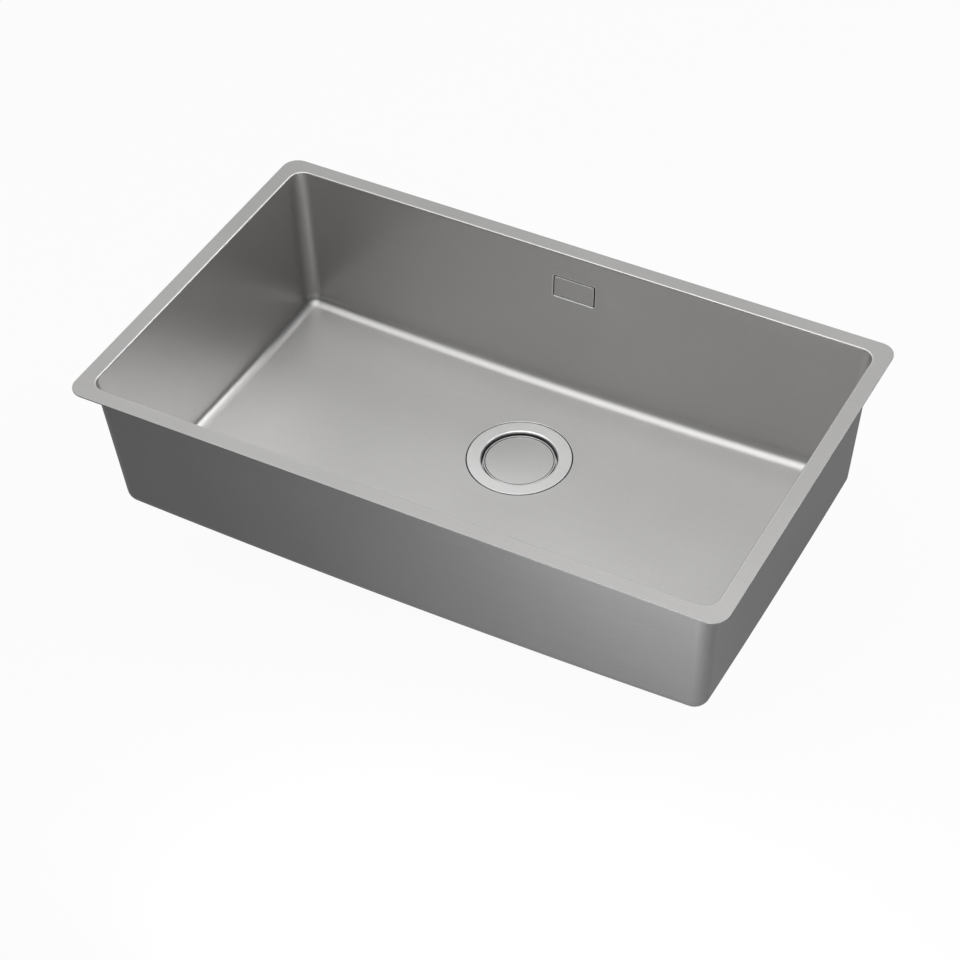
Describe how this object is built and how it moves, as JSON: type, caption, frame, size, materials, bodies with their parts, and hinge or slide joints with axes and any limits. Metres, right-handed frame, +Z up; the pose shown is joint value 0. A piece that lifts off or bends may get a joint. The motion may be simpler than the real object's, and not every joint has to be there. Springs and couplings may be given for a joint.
{
  "type": "inset kitchen sink",
  "caption": "Single-bowl inset stainless kitchen sink with a thin flat rim, tapered walls, dished floor, basket waste with a flush cover, and a rectangular overflow piped to the waste.",
  "frame": {"origin": "centre of the rim in plan, on the plane of the worktop, which is the lower face of the rim's foam strip", "axes": "+X along the long side, +Y towards the wall behind the sink (the side with the overflow), +Z up"},
  "size_m": [0.73, 0.4409, 0.2665],
  "materials": {
    "stainless": "satin, fine grain",
    "stainless_polished": "fine satin, nearly polished",
    "stainless_cover": "satin",
    "steel_fixings": "bright zinc or stainless",
    "foam": "closed-cell foam",
    "damping": "bitumen pad, slightly grainy",
    "rubber": "matt",
    "moulding": "moulded polypropylene",
    "insert": "moulded polypropylene",
    "union_nut": "moulded polypropylene",
    "hose": "flexible polypropylene",
    "knob": "moulded"
  },
  "bodies": {
    "bowl": {"sink_bowl": "stainless", "rim_seal": "foam", "sound_pads": "damping", "waste_flange": "stainless_polished", "flange_seal": "rubber", "body_seal": "rubber", "waste_body": "moulding", "clamp_screw": "steel_fixings", "overflow_plate": "stainless", "overflow_insert": "insert", "overflow_seal": "rubber", "overflow_housing": "moulding", "overflow_screws": "steel_fixings", "overflow_hose": "hose", "upper_hose_nut": "union_nut", "lower_hose_nut": "union_nut", "upper_hose_washer": "rubber", "lower_hose_washer": "rubber"},
    "basket": {"strainer_basket": "stainless_polished", "basket_seal": "rubber", "basket_knob": "knob", "knob_nut": "steel_fixings"},
    "cover": {"drain_cover": "stainless_cover", "cover_feet": "rubber"}
  },
  "joints": [
    {"name": "basket_lift", "type": "slide", "parent": "bowl", "child": "basket", "axis": [0, 0, 1], "range_m": [0, 0.09]},
    {"name": "cover_lift", "type": "slide", "parent": "basket", "child": "cover", "axis": [0, 0, 1], "range_m": [0, 0.09]}
  ]
}
